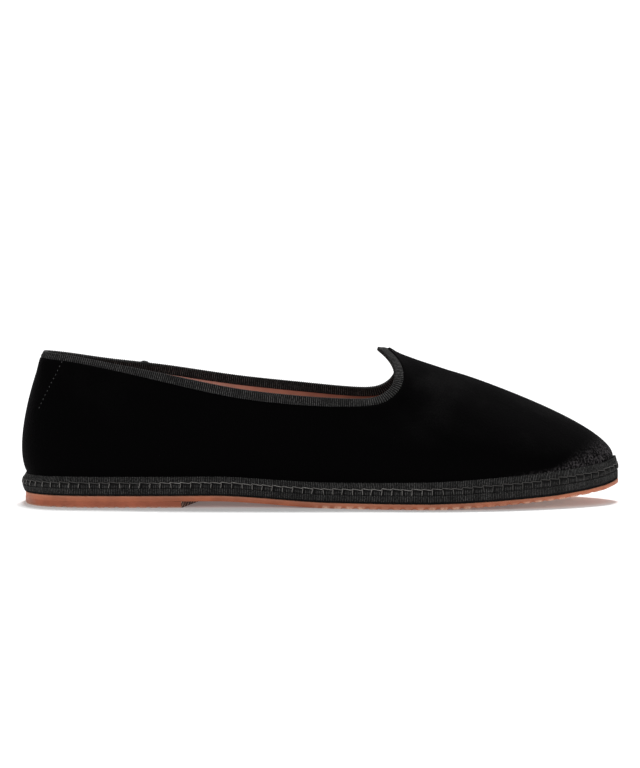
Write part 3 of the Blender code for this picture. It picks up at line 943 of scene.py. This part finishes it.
def make_welt(look, colours):
    """Upper tier: a rounded ribbed tape ring round the foot of the velvet, with a shallow channel under the thread."""
    places, length = sole_places(look)
    ribs = ribbing(len(places))
    profile = [(0.0, 0.6 * MM, 0.0), (0.02, 0.25 * MM, 0.4), (0.06, 0.06 * MM, 0.8)]
    for share in (0.13, 0.24, 0.34, 0.43, 0.49, 0.55, 0.64, 0.76, 0.86, 0.94, 1.0):
        channel = 0.20 * MM * math.exp(-(((share - look.thread_height) / 0.06) ** 2))
        profile.append((share, channel, 1.0))
    low = lambda x: midsole_top(x) + CLEARANCE / 3
    rings = tier_grid(places, profile, welt_inset, low, band_top, ribs, look.rib_depth)
    for share in (0.93, 0.45, 0.0):
        rings.append(ring(places, WELT_STAND - CLEARANCE, lambda x: low(x) + share * (band_top(x) - low(x))))
    grid = np.stack(rings)
    across = np.arange(len(grid) + 1) * 0.0004
    shell = grid_shell(grid, True, True, np.linspace(0.0, length, len(places) + 1), across)
    stitches = round(length / look.stitch_pitch)
    phase = (np.arange(len(places)) / len(places) * stitches - 0.09) % 1.0
    beside = np.minimum(phase, 1 - phase) * look.stitch_pitch
    heights = np.array([row[0] for row in profile] + [1.0] * 3)[:, None]
    over_thread = heights - look.thread_height
    # Painted shadow: the ribs take the dark valley colour beside each stitch leg below the thread, and painted shade
    # darkens a band just under the running thread
    leg_shadow = bell(beside, 0.34 * MM) * (1 - smooth_step(over_thread / 0.10))
    seam = 0.55 * bell(over_thread + 0.10, 0.07)
    rib = ribs * (1 - np.maximum(leg_shadow, seam))
    material = tape_material("welt_grosgrain", colours)
    return make_piece("welt_tape", [shell], material, ["welt"], 50.0, {"rib": rib})


def on_welt(places, share, lift):
    """Points on the welt's face at these shares of its height, lifted off it, and the face's outward vectors."""
    x = plan(places)[:, 0]
    flat = inset_plan(places, welt_inset(share, x) - lift)
    low = midsole_top(x)
    out = np.column_stack([plan_normal(places), np.zeros(len(places))])
    return np.column_stack([flat, low + share * (band_top(x) - low)]), out


def make_welt_stitches(look, colours):
    """Blanket stitch: one thread runs round the welt, sloping from stitch to stitch, and at every stitch a leg goes
    down into the seam between the two tapes."""
    length = even_places(plan, 4)[1]
    stitches = round(length / look.stitch_pitch)
    count = stitches * STITCH_SAMPLES
    places, _ = even_places(plan, count)
    phase = (np.arange(count) % STITCH_SAMPLES) / STITCH_SAMPLES
    radius = look.thread / 2
    uneven = np.random.default_rng(5)
    drift = np.repeat(uneven.normal(0.0, 0.022, stitches), STITCH_SAMPLES)
    share = look.thread_height + drift + 0.05 - 0.11 * phase
    lift = radius * (0.75 - 0.8 * bell(phase * STITCH_SAMPLES, 0.8))
    line, out = on_welt(places, share, lift)
    ahead = unit(np.roll(line, -1, axis=0) - np.roll(line, 1, axis=0))
    rings = thread_rings(line, ahead, out, radius).swapaxes(0, 1)
    across = np.linspace(0.0, 0.001, THREAD_SIDES + 1)
    shells = [grid_shell(rings, True, True, np.linspace(0.0, length, count + 1), across)]
    steps = 6
    fall = np.linspace(0.0, 1.0, steps)
    starts = even_places(plan, stitches)[0]
    lean = uneven.normal(-0.006, 0.010, stitches)
    top = look.thread_height + uneven.normal(0.0, 0.03, stitches)
    leg_places = (starts[:, None] + lean[:, None] * fall).ravel()
    leg_share = (top[:, None] * (1 - fall)).ravel()
    arch = np.tile(radius * (-1.6 + 2.5 * np.sin(np.clip(0.2 + 0.8 * fall, 0.02, 0.98) * math.pi) ** 0.4), stitches)
    leg_line, leg_out = on_welt(leg_places, leg_share, arch)
    shape = (stitches, steps, 3)
    shells += thread_shells(tubes(leg_line.reshape(shape), leg_out.reshape(shape), radius))
    x = np.concatenate([shell["points"] for shell in shells])[:, 0]
    running = np.arange(len(x)) < len(shells[0]["points"])
    bright = 1 - 0.62 * change(THREAD_DULLS, x)
    bright = bright * np.where(running, 0.45 + 0.55 * change(THREAD_BRIGHTENS, x), 1.0)
    material = thread_material("welt_thread", colours.thread)
    return make_piece("welt_stitches", shells, material, (), 70.0, {"rib": SEWN_RIB * bright})


def make_counter_stitches(look, colours):
    """Short stitches down either side of the counter, on a line from the tape's hem towards the back."""
    shells = []
    humps = np.array([-0.6, 0.1, 0.3, 0.1, -0.6])
    steps = len(humps)
    share = np.linspace(-0.5, 0.5, steps) * look.counter_dash
    spot = (np.linspace(0.0, 1.0, COUNTER_STITCHES)[:, None] + share / (COUNTER_STITCHES - 1)).ravel()
    for side in (-1, 1):
        start, end = (side * place % ROWS for place in (-look.counter_top, -look.counter_foot))
        places = start + (end - start) * spot
        distances = hem_distance(places) + SEAM_START + look.counter_run * spot
        found = [wall_frame(places[i::steps], distances[None, i::steps]) for i in range(steps)]
        centre = np.stack([part[0][0] for part in found], axis=1)
        normal = np.stack([part[1][0] for part in found], axis=1)
        rise = look.pile_lip * (1 - smooth_step(spot * look.counter_run / (7 * MM))).reshape(-1, steps)
        arch = look.thread * humps + rise
        shells += thread_shells(tubes(centre + normal * arch[..., None], normal, look.thread * 0.45))
    material = thread_material("counter_thread", colours.counter_thread)
    rib = np.full(sum(len(shell["points"]) for shell in shells), 0.9)
    return make_piece("counter_stitches", shells, material, (), 70.0, {"rib": rib})


def side_lines(distance):
    """The inset outline's outer and inner side as two open lines from the back to the tip, each with x rising."""
    places = round_places(OUTLINE_SAMPLES)
    line = inset_plan(places, distance(plan(places)[:, 0]))
    back = np.argmin(line[:, 0])
    line = np.roll(line, -back, axis=0)
    tip = np.argmax(line[:, 0])
    outer = line[: tip + 1]
    inner = np.vstack([line[:1], line[:tip - 1:-1]])
    return outer, inner


def loft_plate(levels, stations, ends, steps):
    """Points and faces of a plate lofted along the shoe. Every level is (inset function of x, height function of x);
    a section goes across the bottom from the outer side, up the inner side through the levels, across the top and
    down the outer side. Stations are shares of the way from the back to each side's end. Either end is closed by a
    grid of the levels by the steps across. Returns the shell and the indices of the front end's own points."""
    outer, inner = [], []
    for inset, height in levels:
        for side, end, lines in zip(side_lines(inset), ends, (outer, inner)):
            last = side[-1, 0] if end is None else end(side)
            x = side[0, 0] + stations * (last - side[0, 0])
            y = np.interp(x, side[:, 0], side[:, 1])
            lines.append(np.column_stack([x, y, np.broadcast_to(height(x), x.shape)]))
    span = np.linspace(0.0, 1.0, steps + 1)[:, None, None]
    under = outer[0] * (1 - span) + inner[0] * span
    above = inner[-1] * (1 - span) + outer[-1] * span
    rings = np.concatenate([under, inner[1:-1], above, outer[-2:0:-1]])
    shell = grid_shell(rings, True, False, stations, np.arange(len(rings) + 1) * 1.0)
    columns = len(stations)
    tall = len(levels)
    points = [shell["points"]]
    caps = []
    total = len(points[0])
    for column in (0, columns - 1):
        grid = np.zeros((tall, steps + 1), int)
        grid[0] = np.arange(steps + 1)
        grid[1:-1, -1] = steps + 1 + np.arange(tall - 2)
        grid[-1] = steps + 1 + tall - 2 + np.arange(steps, -1, -1)
        grid[1:-1, 0] = 2 * (steps + 1) + tall - 2 + np.arange(tall - 2)[::-1]
        grid = grid * columns + column
        own = total + np.arange((tall - 2) * (steps - 1)).reshape(tall - 2, steps - 1)
        grid[1:-1, 1:-1] = own
        total += own.size
        outer_end = np.stack([line[column] for line in outer[1:-1]])[:, None]
        inner_end = np.stack([line[column] for line in inner[1:-1]])[:, None]
        share = np.linspace(0.0, 1.0, steps + 1)[None, 1:-1, None]
        points.append((outer_end * (1 - share) + inner_end * share).reshape(-1, 3))
        quads = np.stack([grid[:-1, :-1], grid[1:, :-1], grid[1:, 1:], grid[:-1, 1:]], axis=2).reshape(-1, 4)
        caps.append(quads if column else quads[:, ::-1])
    faces = np.vstack([shell["faces"], *caps])
    spare = sum(len(quads) for quads in caps)
    uv = np.concatenate([shell["uv"], np.zeros((spare, 4, 2))])
    return {"points": np.vstack(points), "faces": faces, "uv": uv}, own.ravel()


def notch(x, pitch, width, depth):
    """Depth of the tread's notches: flat ribs with a smooth notch across at every pitch."""
    away = np.abs((x / pitch + 0.5) % 1.0 - 0.5) * pitch
    return depth * (1 - smooth_step((away - width * 0.25) / (width * 0.5)))


def crowded_stations(count):
    """Shares from 0 to 1, evenly spaced but crowded at both ends, where the outline turns across."""
    even = np.linspace(0.0, 1.0, count)
    close = 0.5 - 0.5 * np.cos(np.linspace(0.0, math.pi, 161))
    ends = close[(close < 0.06) | (close > 0.94)]
    return np.clip(np.unique(np.round(np.concatenate([even, ends]), 5)), 0.0004, 0.9996)


def sole_inset(x):
    """Inset of the outsole from the welt's outline: inside it at the heel, level with it at the toe."""
    return OUTSOLE_INSET * heel_share(x)


def eased_levels(rows, inset, height):
    """Levels of a plate with eased edges. A row is (extra inset in mm, share of the height, extra height in mm), and
    inset and height are functions of x and such a row."""
    return [(lambda x, row=row: inset(x, *row), lambda x, row=row: height(x, *row)) for row in rows]


def make_outsole(look, colours):
    """Thin sole with eased edges. Its tread is a row of shallow notches across the forefoot."""
    eased = ((0.55, 0.0, 0.0), (0.15, 0.0, 0.12), (0.0, 0.0, 0.45), (0.0, 0.6, 0.0), (0.03, 1.0, -0.3),
             (0.25, 1.0, -0.03), (0.8, 1.0, 0.0))

    def thick(x):
        return sole_top(x) - underside(x)

    def free(x, share):
        """Share of the easing: hardly any where the lower edge meets the heel lift."""
        return 1.0 if share else 0.04 + 0.96 * change((-0.070, -0.058), x)

    def inset(x, extra, share, rise):
        return sole_inset(x) + extra * MM * free(x, share)

    def height(x, extra, share, rise):
        return underside(x) + share * thick(x) + rise * MM * free(x, share)

    shell, _ = loft_plate(eased_levels(eased, inset, height), crowded_stations(700), (None, None), 8)
    points = shell["points"]
    x, _, z = points.T
    up = (z - underside(x)) / thick(x)
    forward = change(TREAD_START, x) * (1 - change(TREAD_END, x))
    points[:, 2] += notch(x, look.tread_pitch, 1.5 * MM, look.tread_depth) * np.clip(1 - up * 2.2, 0.0, 1.0) * forward
    between = 1 - notch(x, look.tread_pitch, 2.2 * MM, 1.0)
    patches = 0.35 + 0.65 * smooth_step(np.sin(x * 2 * math.pi / PATCH_LENGTH + 0.4) + 0.5)
    # Painted highlight along the eased top edge, and worn dashes between the notches along the lower edge
    paled = 0.25 * bell(1 - up, 0.16) + bell(up, 0.26, 4) * change(DASHES_START, x) * between * patches
    material = leather_material("sole_rubber", colours.sole, 0.74, colours.sole_wear_highlight, 1100.0, 75.0, 0.1)
    fields = {"wear_and_highlight": np.clip(paled, 0.0, 1.0)}
    return make_piece("rubber_sole", [shell], material, ["outsole"], 35.0, fields)


def breast_x(y):
    """x of the heel's oblique breast at this y."""
    return BREAST_AT - LENGTH / 2 + BREAST_SKEW * (y / HEEL_WIDTH + 0.5)


def breast_end(side):
    """x at which this side line meets the breast."""
    half = len(side) // 2
    return np.interp(0.0, (side[:, 0] - breast_x(side[:, 1]))[:half], side[:half, 0])


def make_heel(look, colours):
    """Heel lift of the same outline back to the breast, with the tread's notches. Slanting cuts cross its
    breast, which is darkened as painted shade."""
    top = HEEL_LIFT - 0.02 * MM
    eased = ((0.75, 0.0, 0.0), (0.25, 0.0, 0.15), (0.05, 0.0, 0.5), (0.0, 0.35, 0.0), (0.0, 0.55, 0.0),
             (0.0, 0.75, 0.0), (0.0, 1.0, -0.03), (0.03, 1.0, 0.0), (0.8, 1.0, 0.0))

    def inset(x, extra, share, rise):
        return sole_inset(x) + extra * MM

    def height(x, extra, share, rise):
        return share * top + rise * MM

    stations = np.append(crowded_stations(240)[:-1], 1.0)
    shell, front = loft_plate(eased_levels(eased, inset, height), stations, (breast_end, breast_end), 64)
    points = shell["points"]
    x, y, z = points.T
    from_breast = breast_x(y) - x
    run = (x + LENGTH / 2) * BREAST_AT / (breast_x(y) + LENGTH / 2)
    tread = change(HEEL_TREAD, run) * change(CLEAR_OF_BREAST, from_breast)
    lift = notch(run, look.heel_tread_pitch, 1.6 * MM, look.tread_depth) * np.clip(1 - z / MM, 0.0, 1.0) * tread
    slant = np.sin((y * 0.9 - z * 2.2) * 2 * math.pi / (5.2 * MM))
    cut = np.zeros(len(points))
    cut[front] = slant[front]
    points[:, 0] -= 0.18 * MM * np.clip(cut, 0.0, 1.0)
    points[:, 2] += lift
    breast = from_breast < 0.3 * MM
    paled = 0.55 * bell(z, 0.5 * MM)
    corner = 0.5 - 0.5 * smooth_step((x + LENGTH / 2 - 2.0 * MM) / (5 * MM))
    wear_and_highlight = np.where(breast, smooth_step((-slant - 0.55) / 0.35), np.clip(paled + 0.25 * corner, 0.0, 1.0))
    material = leather_material("heel_rubber", colours.heel, 0.74, colours.sole_wear_highlight, 1100.0, 75.0, 0.1)
    # The breast is darkened as painted shade
    fields = {"wear_and_highlight": wear_and_highlight, "shade": breast.astype(float)}
    return make_piece("heel_piece", [shell], material, ["heel"], 35.0, fields)


def make_sock(look, colours):
    """Leather sock that the foot stands on, a little hollowed under heel and ball and rounded at its rim."""
    rim = WELT_STAND + WALL + CLEARANCE
    eased = ((0.2, 0.0), (0.0, 0.25), (0.0, 0.7), (0.15, 0.93), (0.6, 1.0), (1.6, 1.0))

    def inset(x, extra, share):
        return rim + extra * MM

    def height(x, extra, share):
        return upper_foot(x) + share * INSOLE

    shell, _ = loft_plate(eased_levels(eased, inset, height), crowded_stations(300), (None, None), 24)
    points = shell["points"]
    x, y, z = points.T
    middle = 1 - np.clip(np.abs(y) / (26 * MM), 0.0, 1.0) ** 2
    top = np.clip((z - upper_foot(x)) / INSOLE, 0.0, 1.0) ** 4
    points[:, 2] -= 0.9 * MM * middle * top * (bell(x + 0.100, 0.030) + 0.5 * bell(x - 0.045, 0.035))
    material = leather_material("sock_leather", colours.lining, 0.8, colours.worn_lining, 1500.0, 45.0, 0.08)
    return make_piece("leather_sock", [shell], material, ["insole"], 50.0)


# Stage


def make_floor(colour):
    """Plain pale floor, far wider than the picture."""
    corners = np.array([[-1.0, -1.0, 0.0], [1.0, -1.0, 0.0], [1.0, 1.0, 0.0], [-1.0, 1.0, 0.0]]) * FLOOR_REACH
    mesh = bpy.data.meshes.new("floor")
    mesh.from_pydata(corners.tolist(), [], [[0, 1, 2, 3]])
    material, _, shader = start_material("studio_floor")
    shader.inputs["Base Color"].default_value = (*colour, 1.0)
    shader.inputs["Roughness"].default_value = 0.9
    shader.inputs["Specular IOR Level"].default_value = 0.1
    shader.inputs["Emission Color"].default_value = (1.0, 1.0, 1.0, 1.0)
    shader.inputs["Emission Strength"].default_value = FLOOR_GLOW
    mesh.materials.append(material)
    floor = bpy.data.objects.new("floor", mesh)
    bpy.context.scene.collection.objects.link(floor)


def add_lamp(name, kind, place, target, **settings):
    """A lamp of this kind with these settings that shines from place to target."""
    light = bpy.data.lights.new(name, kind)
    for key, value in settings.items():
        setattr(light, key, value)
    lamp = bpy.data.objects.new(name, light)
    bpy.context.scene.collection.objects.link(lamp)
    aim_at(lamp, place, target)


def aim_at(item, place, target):
    item.location = place
    item.rotation_mode = "QUATERNION"
    item.rotation_quaternion = (Vector(target) - Vector(place)).to_track_quat("-Z", "Y")


def make_stage(stage):
    """Floor, even white surroundings, a wide light from above and two soft ones in front, and the camera."""
    make_floor(stage.floor)
    world = bpy.data.worlds.new("studio")
    world.use_nodes = True
    background = world.node_tree.nodes["Background"]
    background.inputs["Color"].default_value = (1.0, 1.0, 1.0, 1.0)
    seen = world.node_tree.nodes.new("ShaderNodeLightPath").outputs["Is Camera Ray"]
    values = {"Value": seen, "To Min": stage.ambient, "To Max": 1.0}
    strength = add_node(world.node_tree, "ShaderNodeMapRange", values)
    world.node_tree.links.new(strength.outputs[0], background.inputs["Strength"])
    scene = bpy.context.scene
    scene.world = world
    middle, low = (0.0, 0.0, 0.02), (0.0, 0.0, 0.01)
    add_lamp("ceiling", "SUN", (0.05, 0.62, 1.15), (0.0, 0.0, 0.0), energy=stage.ceiling, angle=math.radians(13.0))
    soft = {"shape": "RECTANGLE", "size": 0.9, "size_y": 0.6}
    add_lamp("front_left", "AREA", (-0.7, -1.7, 0.55), middle, energy=stage.front, **soft)
    small = {"shape": "RECTANGLE", "size": 0.5, "size_y": 0.4}
    add_lamp("toe_side", "AREA", (1.2, -1.0, 0.35), low, energy=stage.toe, **small)
    camera = bpy.data.cameras.new("camera")
    camera.type = "ORTHO"
    camera.ortho_scale = PICTURE_HEIGHT * stage.pixel
    camera.clip_start, camera.clip_end = 0.1, 50.0
    item = bpy.data.objects.new("camera", camera)
    scene.collection.objects.link(item)
    tilt = math.radians(stage.elevation)
    centre = np.array([0.0, 0.0, stage.centre_height])
    back = np.array([0.0, -math.cos(tilt), math.sin(tilt)])
    aim_at(item, tuple(centre + back * CAMERA_DISTANCE), tuple(centre))
    scene.camera = item
    scene.view_settings.view_transform = "Standard"
    scene.view_settings.look = "None"
    scene.view_settings.exposure = 0.0
    scene.view_settings.gamma = 1.0


# Add-on


def size_prop(label, text, value):
    return bpy.props.FloatProperty(name=label, description=text, default=value, unit="LENGTH", precision=5)


def number_prop(label, text, value, **unit_of):
    return bpy.props.FloatProperty(name=label, description=text, default=value, **unit_of)


def colour_prop(label, text, value):
    return bpy.props.FloatVectorProperty(
        name=label, description=text, default=value, size=3, min=0.0, max=1.0, subtype="COLOR"
    )


class SlipperLook(bpy.types.PropertyGroup):
    velvet_thickness: size_prop("Velvet", "Thickness of the velvet layer", 0.0010)
    pressed_pile: size_prop("Pressed pile", "How far the tape presses the pile in", 0.00015)
    pile_lip: size_prop("Pile lip", "How far the pile swells beside the tape", 0.00050)
    gather_depth: size_prop("Gathers", "Depth of the puckers at the toe", 0.00022)
    tape_thickness: size_prop("Tape", "Thickness of the tape under its ribs", 0.00040)
    rib_depth: size_prop("Rib depth", "Height of one rib of the tape", 0.00020)
    collar_rib: size_prop("Collar rib", "Pitch of the collar tape's ribs", 0.00090)
    sole_rib: size_prop("Sole rib", "Pitch of the sole tape's ribs", 0.00078)
    stitch_pitch: size_prop("Stitch pitch", "Distance between the blanket stitches", 0.0045)
    thread: size_prop("Thread", "Diameter of the thread", 0.00037)
    tread_pitch: size_prop("Tread pitch", "Distance between the notches of the sole", 0.0052)
    heel_tread_pitch: size_prop("Heel tread pitch", "Distance between the notches of the heel", 0.0046)
    tread_depth: size_prop("Tread depth", "Depth of the notches", 0.00035)
    thread_height: number_prop("Thread height", "Height of the running thread on the welt", 0.49, subtype="FACTOR")
    counter_top: number_prop("Counter top", "Place round the shoe where the counter's seam starts", 1.60)
    counter_foot: number_prop("Counter foot", "Place round the shoe where the counter's seam ends", 1.11)
    counter_dash: number_prop("Counter dash", "Share of the seam that its stitches cover", 0.36, subtype="FACTOR")
    counter_run: size_prop("Counter run", "Length of the counter's seam", 0.0215)


class SlipperColours(bpy.types.PropertyGroup):
    velvet: colour_prop("Velvet", "Deep colour of the pile", (0.0012, 0.0011, 0.0012))
    # Painted sheen: colour of the pile where it faces up
    sheen_velvet: colour_prop("Stroked velvet", "Colour where the pile catches light", (0.0066, 0.0063, 0.0064))
    # Colour of flattened pile, and of the painted sheen at the toe
    rubbed_sheen_velvet: colour_prop("Rubbed velvet", "Colour of flattened pile", (0.108, 0.099, 0.104))
    # Painted shade between the ribs and painted highlight on them
    tape_shaded_valley: colour_prop("Tape valley", "Colour between the ribs", (0.0012, 0.0011, 0.0011))
    tape_lit_crest: colour_prop("Tape crest", "Colour on the ribs", (0.196, 0.194, 0.190))
    thread: colour_prop("Thread", "Colour of the welt's stitches", (0.34, 0.325, 0.31))
    counter_thread: colour_prop("Counter thread", "Colour of the counter's stitches", (0.09, 0.09, 0.09))
    lining: colour_prop("Lining", "Colour of lining and sock", (0.54, 0.225, 0.152))
    worn_lining: colour_prop("Worn lining", "Colour of the lining behind the heel", (0.66, 0.43, 0.38))
    sole: colour_prop("Sole", "Colour of the sole", (0.52, 0.155, 0.074))
    heel: colour_prop("Heel", "Colour of the heel", (0.455, 0.124, 0.060))
    # Pale colour of worn edges and of the painted highlight on the sole's top edge
    sole_wear_highlight: colour_prop("Worn sole", "Colour of rubbed edges", (0.90, 0.61, 0.45))


class SlipperStage(bpy.types.PropertyGroup):
    floor: colour_prop("Floor", "Colour of the floor", (0.90, 0.90, 0.90))
    ambient: number_prop("Ambient", "Strength of the even light", 0.42)
    ceiling: number_prop("Ceiling", "Strength of the light from above", 3.0)
    front: number_prop("Front", "Power of the light in front", 6.0, unit="POWER")
    toe: number_prop("Toe", "Power of the light by the toe", 1.5, unit="POWER")
    pixel: size_prop("Pixel", "Size of one pixel at the shoe", 0.00044)
    centre_height: size_prop("Centre height", "Height of the picture's middle", 0.05212)
    elevation: number_prop("Elevation", "Camera's angle down, in degrees", 5.0)


class SlipperOperator:
    bl_options = {"REGISTER", "UNDO"}

    def execute(self, context):
        scene = context.scene
        for build in self.builds:
            build(scene.slipper_look, scene.slipper_colours)
        return {"FINISHED"}


class SLIPPER_OT_velvet(SlipperOperator, bpy.types.Operator):
    """Builds the velvet upper"""

    bl_idname = "slipper.velvet"
    bl_label = "Velvet Upper"
    builds = (make_upper,)


class SLIPPER_OT_lining(SlipperOperator, bpy.types.Operator):
    """Builds the leather lining and the sock"""

    bl_idname = "slipper.lining"
    bl_label = "Lining and Sock"
    builds = (make_lining, make_sock)


class SLIPPER_OT_collar(SlipperOperator, bpy.types.Operator):
    """Builds the ribbed tape round the collar"""

    bl_idname = "slipper.collar"
    bl_label = "Collar Tape"
    builds = (make_collar_tape,)


class SLIPPER_OT_band(SlipperOperator, bpy.types.Operator):
    """Builds both tiers of ribbed tape above the sole"""

    bl_idname = "slipper.band"
    bl_label = "Sole Tapes"
    builds = (make_midsole, make_welt)


class SLIPPER_OT_stitches(SlipperOperator, bpy.types.Operator):
    """Sews the blanket stitches of the welt and the stitches of the counter"""

    bl_idname = "slipper.stitches"
    bl_label = "Stitches"
    builds = (make_welt_stitches, make_counter_stitches)


class SLIPPER_OT_sole(SlipperOperator, bpy.types.Operator):
    """Builds the rubber sole and the heel"""

    bl_idname = "slipper.sole"
    bl_label = "Sole and Heel"
    builds = (make_outsole, make_heel)


class SLIPPER_OT_stage(bpy.types.Operator):
    """Sets up the floor, the lights and the camera"""

    bl_idname = "slipper.stage"
    bl_label = "Studio"

    def execute(self, context):
        make_stage(context.scene.slipper_stage)
        return {"FINISHED"}


OPERATORS = (
    SLIPPER_OT_velvet,
    SLIPPER_OT_lining,
    SLIPPER_OT_collar,
    SLIPPER_OT_band,
    SLIPPER_OT_stitches,
    SLIPPER_OT_sole,
    SLIPPER_OT_stage,
)


class SLIPPER_PT_panel(bpy.types.Panel):
    bl_label = "Velvet Slipper"
    bl_space_type = "VIEW_3D"
    bl_region_type = "UI"
    bl_category = "Slipper"

    def draw(self, context):
        layout = self.layout
        for operator in OPERATORS:
            layout.operator(operator.bl_idname)
        for group in (context.scene.slipper_look, context.scene.slipper_colours, context.scene.slipper_stage):
            box = layout.box()
            for name in group.__annotations__:
                box.prop(group, name)


CLASSES = (SlipperLook, SlipperColours, SlipperStage, *OPERATORS, SLIPPER_PT_panel)


def register():
    for item in CLASSES:
        bpy.utils.register_class(item)
    bpy.types.Scene.slipper_look = bpy.props.PointerProperty(type=SlipperLook)
    bpy.types.Scene.slipper_colours = bpy.props.PointerProperty(type=SlipperColours)
    bpy.types.Scene.slipper_stage = bpy.props.PointerProperty(type=SlipperStage)


def unregister():
    del bpy.types.Scene.slipper_stage
    del bpy.types.Scene.slipper_colours
    del bpy.types.Scene.slipper_look
    for item in reversed(CLASSES):
        bpy.utils.unregister_class(item)


def main():
    register()
    for operator in OPERATORS:
        group, name = operator.bl_idname.split(".")
        getattr(getattr(bpy.ops, group), name)()


if __name__ == "__main__":
    main()
